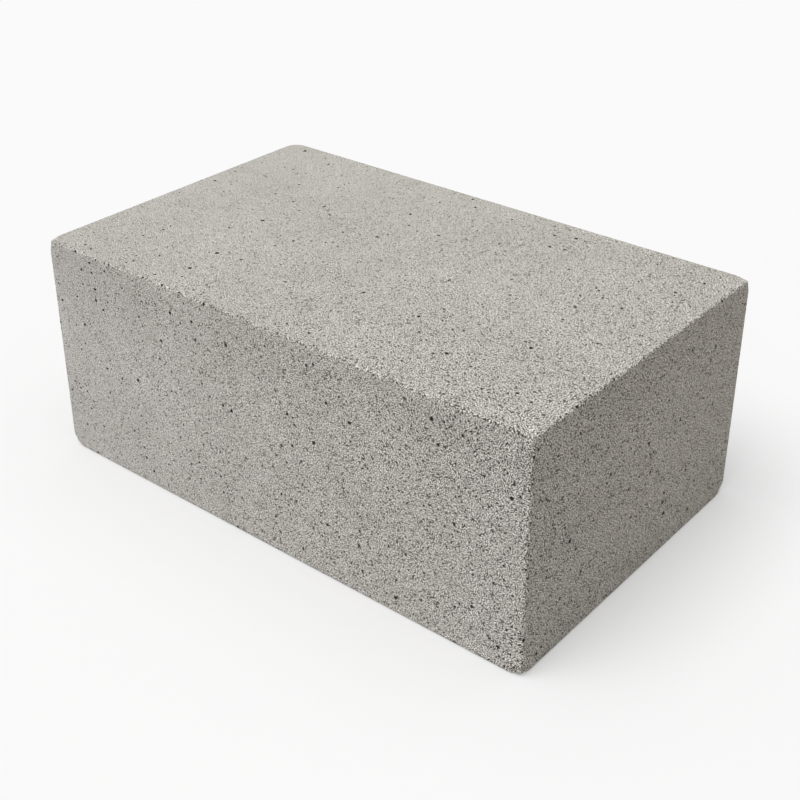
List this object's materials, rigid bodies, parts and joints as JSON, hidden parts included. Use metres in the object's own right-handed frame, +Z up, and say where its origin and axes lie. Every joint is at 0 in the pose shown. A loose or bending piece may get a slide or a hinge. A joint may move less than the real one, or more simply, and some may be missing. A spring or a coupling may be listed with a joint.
{
  "type": "solid concrete block",
  "caption": "Solid rectangular concrete block with rounded edges and a fine sandy, pitted surface, laid flat as a masonry or foundation unit.",
  "frame": {"origin": "middle of the bed face that the block lies on", "axes": "+X along the length, +Y along the width, +Z up from the bed face to the top face"},
  "size_m": [0.39, 0.24, 0.16],
  "materials": {
    "concrete": "matte"
  },
  "bodies": {
    "root": {"concrete_block": "concrete"}
  },
  "joints": []
}
